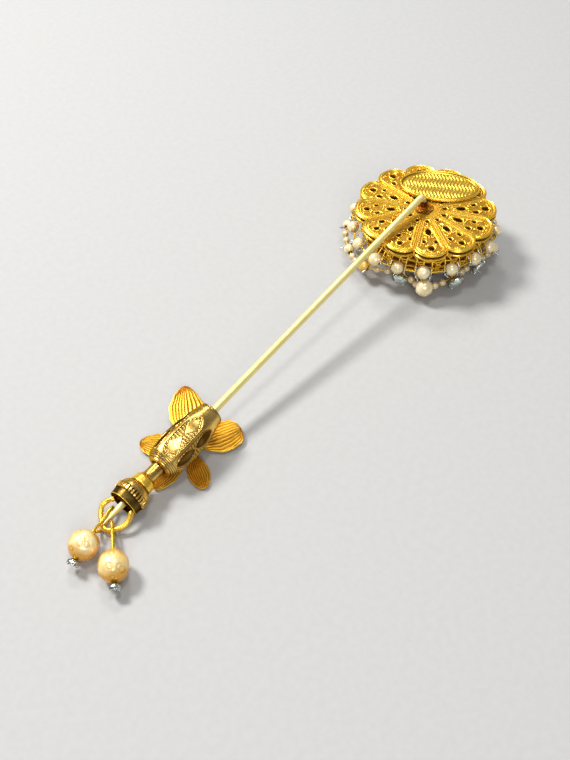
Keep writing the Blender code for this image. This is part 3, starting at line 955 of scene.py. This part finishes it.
def engraving(u, v, ovals):
    """Depth and darkness of the cutting in a panel. u runs -1..1 across, v 0..1 along it.
    A panel holds two sunk ovals with raised rims, or two diamonds."""
    # A panel is a long shape with arched ends.
    limit = min(1.0, sqrt(max(v, 0) * 5.2), sqrt(max(1 - v, 0) * 7.0))
    edge = limit - abs(u)
    if edge < 0:
        return 0.0, 0.0
    line = peak(edge - 0.06, 0.06)
    cell = (v * 2 + 0.02) % 1.0
    across = abs(u) / (0.7 if ovals else 0.86)
    lengthwise = abs(cell - 0.5) / 0.47
    shape = (across ** 1.6 + lengthwise ** 1.9) if ovals else across + lengthwise
    hatch = 0.0
    if shape > (1.2 if ovals else 1.08) and edge > 0.12:
        wave = cos(TURN * (v * HATCH_LINES + abs(u) * 0.35))
        hatch = smoothstep(0.4, 0.8, 0.5 + 0.5 * wave)
    if not ovals:
        border = peak(shape - 1, 0.09)
        return max(line, border * 0.9, hatch * 0.75), max(line, border, hatch * 0.65)
    inside = smoothstep(0.98, 0.86, shape)
    raised = peak(shape - 1.06, 0.12)
    sunk = inside * (1.1 - 0.6 * shape)
    depth = max(sunk, hatch * 0.6, line * 0.6) * (1 - raised) - 0.6 * raised
    dark = max(inside * (0.72 + 0.25 * shape), 0.22, hatch * 0.75, line) * (1 - raised)
    return depth, dark


def barrel_skin(a, h, base):
    """Radius and tone of the barrel at angle a and height h."""
    flat = smoothstep(2.0, 4.6, h) * (1 - smoothstep(10.4, 11.2, h))
    turn = (a - PANEL_TURN + SECTOR / 2) % TURN
    number = int(turn / SECTOR)
    ovals = number % 2 == 1
    off = turn - number * SECTOR - SECTOR / 2
    u = off / (SECTOR / 2) / PANEL_SHARE
    v = (h - PANEL_FOOT) / PANEL_LENGTH
    r, t = base, 0.04 + 0.18 * noise.noise(polar(2, a, h * 0.6))
    if abs(u) < 1:
        # Panels are planed flat below the round body; the ridges between keep its radius.
        chord = base * cos(SECTOR / 2 * PANEL_SHARE) / cos(off)
        r += (min(chord, base) - base) * flat * 0.8
        if 0 < v < 1:
            depth, dark = engraving(u, v, ovals)
            r -= 0.1 * depth
            t += 0.9 * dark + (0.15 * flat if ovals else 0)
    else:
        t -= 0.1 * flat
    border = peak(abs(u) - 1.0, 0.035) * flat
    grooves = sum(peak(h - groove, 0.085) for groove in END_GROOVES)
    r -= 0.04 * border + 0.09 * grooves
    t += 0.8 * border + 0.95 * grooves
    # The mouth's lip is painted darker, as shade going into the bore.
    t += 0.7 * (1 - smoothstep(0.0, 0.35, h)) + 0.25 * smoothstep(0.9, 0.3, h)
    return r, unit(t)


def barrel():
    build = Build()
    around, length = 396, 230

    def skin(k, i):
        h, a = SPAN * k / length, TURN * i / around
        base = smooth_radius(h) if 0.25 < h < SPAN - 0.2 else straight_radius(h)
        r, tone = barrel_skin(a, h, base)
        return CLUTCH @ polar(r, a, h), tone

    rows, tones = sampled(length + 1, around, skin)
    rows += [circle(CLUTCH, r, h, around) for r, h in BARREL_BORE]
    # The bore inside is painted dark, as shade.
    build.grid(rows, tones + [0.9] * len(BARREL_BORE), round_col=True)
    build.piece("engraved_barrel", OLD_BRASS, "clutch", ["clutch_barrel"], "old_brass", sharp=0.9)


barrel()


def plunger_stem():
    stem = Build()
    profile = [(0.78, 5.06), (1.1, 5.06), (1.1, 12.3), (1.08, 13.4), (1.12, 14.2), (1.2, 14.5),
               (1.42, 14.75), (1.6, 14.95), (1.68, 15.15), (1.68, 15.5), (1.64, 15.6),
               (1.68, 15.7), (1.68, 16.15), (1.62, 16.2), (0.78, 16.2)]
    # The stem is painted darker where it runs inside the barrel, on its inner faces and in its
    # groove, as shade.
    tones = [0.8, 0.5, 0.5, 0.15, 0.1, 0.25, 0.1, 0, 0, 0, 0.6, 0, 0, 0.4, 0.8]
    stem.turned(profile + profile[:1], 72, CLUTCH, tones + tones[:1])
    stem.piece("plunger_stem", OLD_BRASS, "plunger", ["plunger_neck"], "old_brass", sharp=0.8)
    shoulder = Build()
    band = [(1.3, 14.72), (1.55, 14.86), (1.68, 15.0), (1.72, 15.3), (1.78, 15.9), (1.82, 16.08),
            (1.78, 16.2), (1.6, 16.3)]
    # The shoulder is painted darker where it tucks against the stem and the bell, as shade.
    shoulder.turned(band, 72, CLUTCH, [0.6, 0.2, 0, 0, 0, 0, 0.3, 0.9])
    shoulder.piece("gilt_shoulder", GOLD, "plunger", slot="gold", sharp=1.0)


KNURL_LOW, KNURL_HIGH, NOTCHES = 17.62, 18.6, 30


def bell():
    """A bell with notches round its widest band, which are painted darker, as shade."""
    build = Build()
    shape = [(0.78, 16.26), (1.62, 16.26), (1.66, 16.34), (1.9, 16.42), (2.14, 16.6), (2.34, 16.9),
             (2.47, 17.25), (2.54, 17.5), (2.58, 17.6), (2.66, 17.66), (2.72, 17.75), (2.74, 18.1),
             (2.72, 18.45), (2.66, 18.56), (2.58, 18.62), (2.5, 18.66)]
    # The bell is painted darker on its inner face, in the groove below the notched band and
    # towards the end band, as shade.
    tones = [0.8, 0.9, 0.9, 0.3, 0.1, 0.0, 0.0, 0.1, 0.4, 0.3, 0.05, 0.05, 0.05, 0.4, 0.8, 0.9]

    def notch(a, low, high):
        return smoothstep(low, high, 0.5 + 0.5 * cos(a * NOTCHES))

    def knurl(a, h, r):
        return r - 0.2 * notch(a, 0.5, 0.95) if KNURL_LOW < h < KNURL_HIGH else r

    build.turned(shape, 480, CLUTCH, tones, knurl)
    # The notches are painted dark, as shade between the teeth.
    back = CLUTCH.inverted()
    for n, v in enumerate(build.verts):
        local = back @ v
        if KNURL_LOW < local.z < KNURL_HIGH:
            build.tones[n] = notch(atan2(local.y, local.x), 0.5, 0.85)
    build.piece("notched_bell", OLD_BRASS, "plunger", ["knurled_bell"], "old_brass", sharp=0.7)


def bell_end():
    """A dark band closes the bell, with a bright line round its end."""
    line = Build()
    line.tube(circle(CLUTCH, 2.38, 19.84, 96), 0.07, 6, True)
    line.piece("bright_end_line", GOLD, "plunger", slot="old_brass", sharp=1.4)
    band = Build()
    edge = [(2.52, 18.64), (2.5, 18.8), (2.46, 19.1), (2.42, 19.4), (2.4, 19.7), (2.4, 19.82),
            (2.37, 19.88), (2.3, 19.9), (0.95, 19.9), (0.8, 19.8), (0.78, 16.3)]
    # The band is painted darker where it meets the bell, and darkest on its end face and in the
    # bore, as shade.
    band.turned(edge, 96, CLUTCH, [0.8, 0.3, 0.1, 0.1, 0.1, 0, 0.3, 1, 1, 1, 1])
    band.piece("dark_end_band", DARK_BRASS, "plunger", slot="old_brass", sharp=0.6)


LOOP_FOOT = 19.9
# Half of the end loop: distance past the bell, sideways, and up.
LOOP_HALF = ((0.3, 1.9, -0.3), (0.9, 2.18, -0.5), (1.8, 2.28, -0.75), (2.7, 1.95, -0.98),
             (3.5, 1.3, -1.12), (4.05, 0.6, -1.17), (4.2, 0.0, -1.18))


def end_loop():
    points = [along(LOOP_FOOT + d, s + 0.42 * sin(pi * min(d / 3.2, 1.0)), u)
              for d, s, u in LOOP_HALF]
    points += [along(LOOP_FOOT + d, -s, u) for d, s, u in LOOP_HALF[-2::-1]]
    feet = [along(LOOP_FOOT + 0.03, s, -0.3) for s in (1.9, -1.9)]
    loop = Build()
    loop.tube(feet[:1] + smooth_path(points, 5) + feet[1:], 0.4, 14)
    loop.piece("wire_loop", GOLD, "plunger", ["end_loop"], "gold", sharp=1.3)


plunger_stem()
bell()
bell_end()
end_loop()

# The collet and the spring keep their CAD shapes inside the barrel.
for node in ("grip_collet", "clutch_spring"):
    for slot in frame["nodes"][node].material_slots:
        slot.link = "OBJECT"
        slot.material = STEEL

# Each leaf: degrees round the rivet, length, half width, rise of the tip, and bluntness.
LEAVES = ((46.0, 11.6, 2.9, 1.2, 0.1), (-24.5, 8.7, 3.0, 0.0, 1.0), (-121.0, 7.7, 1.75, -0.4, 0.4),
          (-174.0, 8.9, 1.65, -0.4, 0.3), (121.0, 7.9, 2.3, -0.1, 0.3))
# Share of the length, share of the half width.
LEAF_EDGE = ((0.0, 0.22), (0.2, 0.3), (0.34, 0.66), (0.52, 0.96), (0.7, 0.97), (0.86, 0.66),
             (0.94, 0.46), (1.0, 0.4))
LEAF_BASE, TIP_START = 0.08, 0.88


def leaf_width(t):
    for (t0, w0), (t1, w1) in zip(LEAF_EDGE, LEAF_EDGE[1:]):
        if t <= t1:
            k = (t - t0) / (t1 - t0)
            return w0 + (w1 - w0) * (smoothstep(0, 1, k) * 0.4 + k * 0.6)
    return LEAF_EDGE[-1][1]


def leaf_surface(number, centre, upper):
    """Rows and tones of a leaf's ribbed upper side or of its underside."""
    turn, length, half, rise, blunt = LEAVES[number]
    place = Matrix.Translation(centre) @ Matrix.Rotation(radians(turn), 4, "Z")
    rows, tones = [], []
    count, width_count = 64, 60
    for i in range(count + 1):
        t = LEAF_BASE + (1 - LEAF_BASE) * i / count
        width = (leaf_width(t) + blunt * 0.32 * max(t - 0.7, 0) / 0.26) * half
        if t > TIP_START:
            # The tip is rounded off within its last stretch.
            width *= sqrt(max(1 - ((t - TIP_START) / (1 - TIP_START)) ** 2, 0.0001))
        x = t * length
        f = unit((x - 1.1) / (length - 1.1))
        row, tone = [], []
        for j in range(width_count + 1):
            v = -1 + 2 * j / width_count
            # Ribs fan out from the base and curve to the edge.
            fan = v * 5.0 + 0.9 * sin(2.4 * t + number) * abs(v)
            rib = 0.5 + 0.5 * cos(TURN * fan)
            fade = smoothstep(0.12, 0.3, t) * (1 - smoothstep(0.9, 1.0, abs(v)))
            z = rise * f ** 1.5 - 0.25 * sin(pi * f)
            z += 0.11 * (1 - v * v) * sin(pi * t)
            z += 0.13 * rib * fade - 0.1 if upper else -0.33 - 0.08 * (1 - rib) * fade
            row.append(place @ Vector((x, v * width, z)))
            # The grooves between the ribs are painted darker, as shade, and the underside is
            # painted in shade.
            tone.append(min(1.0, (1 - rib) * 0.8 * fade + 0.12) if upper else 0.5)
        rows.append(row)
        tones.append(tone)
    return rows, tones


def leaf_border(rows):
    return [r[0] for r in rows] + rows[-1][1:] + [r[-1] for r in rows[::-1][1:]]


def leaves():
    """Five ribbed leaves, each its own bent sheet, round a hub held by a rivet."""
    centre = middle("rosette_rivet")
    centre.z = 1.06
    build = Build()
    for number in range(len(LEAVES)):
        upper, tones = leaf_surface(number, centre, True)
        build.grid(upper, tones, round_row=False)
        under, tones = leaf_surface(number, centre, False)
        build.grid(under, tones, round_row=False)
        build.grid([leaf_border(upper), leaf_border(under)], 0.1, round_row=False)
    place = Matrix.Translation(centre)
    hub = [(0.5, -0.4), (1.5, -0.42), (1.9, -0.3), (1.9, -0.12), (1.4, -0.02), (0.5, 0.0)]
    build.turned(hub + hub[:1], 40, place, 0.3)
    build.piece("ribbed_leaves", LEAF_GOLD, "clutch", ["leaf_rosette"], "gold", sharp=1.0)
    rivet = Build()
    floor_z = -centre.z
    dome = [(0.02, 0.2), (0.43, 0.2), (0.43, -0.6), (0.9, -0.66), (1.1, -0.7),
            (1.12, floor_z + 0.3), (1.0, floor_z + 0.18), (0.7, floor_z + 0.09),
            (0.02, floor_z + 0.06)]
    # The rivet is painted darker in the step under its dome, as shade.
    rivet.turned(dome, 40, place, [0.3, 0.2, 0.6, 0.4, 0.1, 0, 0, 0.1, 0.1])
    rivet.piece("leaf_rivet", GOLD, "clutch", ["rosette_rivet"], "gold", sharp=0.8)


leaves()

# ---- drops

swings = {j["child"]: j for j in frame["record"]["behaviour"]["joints"]}
DROP_RADIUS = 2.35
# The drops are painted pale on the side facing this way, where the key light stands, and painted
# shade in amber lies away from it.
PAINTED_LIGHT_SIDE = Vector((-0.36, -0.3, 0.88))


def drop(side, inner, seed, stretch, pits):
    """A pearl on a hairpin that hooks over the end loop, with a stone in a cup at its end."""
    body = f"{side}_drop"
    grip = Vector(swings[body]["pos_m"]) / MM
    centre = middle(f"{side}_drop_pearl")
    out = Vector((centre.x - grip.x, centre.y - grip.y, 0)).normalized()
    entry = centre - out * 2.5
    # Distance outward from the grip, and up.
    steps = ((0.75, 0.9), (0.0, 0.75), (-inner * 0.6, 0.7), (0.12 - inner, 0.47), (-inner, 0.03),
             (0.12 - inner, -0.42), (-inner * 0.5, -0.69), (0.3, -0.71), (0.95, -0.45))
    bend = [grip + out * d + UP * h for d, h in steps]
    tail = entry - out * 0.25 - UP * (entry.z - 1.75)
    path = [centre + out * 2.45, centre, entry] + bend + [tail]
    wire = Build()
    wire.tube(smooth_path(path, 7), 0.24, 12)
    wire.piece(f"{side}_hairpin", GOLD, body, [f"{side}_drop_wire"], "gold", sharp=1.3)

    def amber_and_shade(d, n, place):
        # Amber at both ends is the pearls' own colour; the lower side and the side away from the
        # light are painted shade.
        world = place.to_3x3() @ d
        return (0.9 * smoothstep(0.2, 0.75, d.z + 0.3 * n - 0.35 * world.z)
                + 0.5 * smoothstep(0.4, 0.9, -d.z + 0.2 * n)
                + 0.85 * smoothstep(0.82, 0.2, world.dot(PAINTED_LIGHT_SIDE) + 0.22 * n))

    bead_piece(f"{side}_baroque_pearl", centre, out, DROP_RADIUS, 0.36, DROP, body,
               f"{side}_drop_pearl", "drop_pearl", wobble=0.03, seed=seed, stretch=stretch,
               amber_and_shade=amber_and_shade, steps=120, pits=pits)
    montee(f"{side}_end_cup", f"{side}_end_stone", f"{side}_drop_setting", f"{side}_drop_stone",
           centre + out * (DROP_RADIUS * stretch - 0.02) - UP * 0.3,
           (out - UP * 0.45).normalized(), 0.74, body)


drop("left", 3.05, 11.0, 1.0, ((-0.38, -0.25, 0.89), (-0.1, -0.62, 0.78), (-0.85, 0.1, 0.5),
                               (0.2, 0.5, 0.8)))
drop("right", 1.25, 17.0, 1.08, ((-0.45, -0.2, 0.87), (0.0, -0.68, 0.73), (-0.7, -0.66, 0.28),
                                 (0.3, 0.3, 0.9)))

# ---- floor, light, camera

mat, nt, shader = new_material("pale_floor")
speckle = noise_fac(nt, 900.0, 4.0)
floor_colour = mix_colour(nt, speckle, (0.455, 0.452, 0.44), (0.44, 0.436, 0.425))
nt.links.new(floor_colour, shader.inputs["Base Color"])
put(shader, {"Roughness": 0.85})
bump(nt, shader, speckle, 0.08, 1e-4)
floor_mesh = bpy.data.meshes.new("floor")
corners = [(-1.5, -1.5, 0), (1.5, -1.5, 0), (1.5, 1.5, 0), (-1.5, 1.5, 0)]
floor_mesh.from_pydata(corners, [], [[0, 1, 2, 3]])
floor_mesh.materials.append(mat)
link_object("floor", floor_mesh)

world = bpy.data.worlds.new("studio")
world.use_nodes = True
put(world.node_tree.nodes["Background"], {"Color": (0.5, 0.5, 0.52, 1), "Strength": 0.42})
bpy.context.scene.world = world
bpy.context.scene.view_settings.view_transform = "Standard"


def area(name, at, size, power):
    """A round lamp aimed at the origin."""
    lamp = bpy.data.lights.new(name, "AREA")
    lamp.shape = "DISK"
    lamp.size = size
    lamp.energy = power
    ob = link_object(name, lamp)
    ob.location = at
    ob.rotation_euler = (-Vector(at)).to_track_quat("-Z", "Y").to_euler()


area("key", (-0.06, 0.32, 0.42), 0.14, 3.0)
area("fill", (-0.3, -0.3, 0.36), 0.3, 1.1)
area("rear", (0.3, 0.33, 0.5), 0.16, 1.1)
area("top", (0.05, -0.02, 0.6), 0.12, 0.8)

camera = bpy.data.cameras.new("camera")
camera.sensor_width = 36
camera.lens = 36 * 1044 / 760
view = link_object("camera", camera)
# The camera looks down at 48.86 degrees along the ground direction (0.775, 0.632).
view.location = Vector((-91.14, -72.09, 129.19)) * MM
forward = Vector((0.77505, 0.63190, -tan(radians(48.86)))).normalized()
view.rotation_euler = forward.to_track_quat("-Z", "Y").to_euler()
bpy.context.scene.camera = view
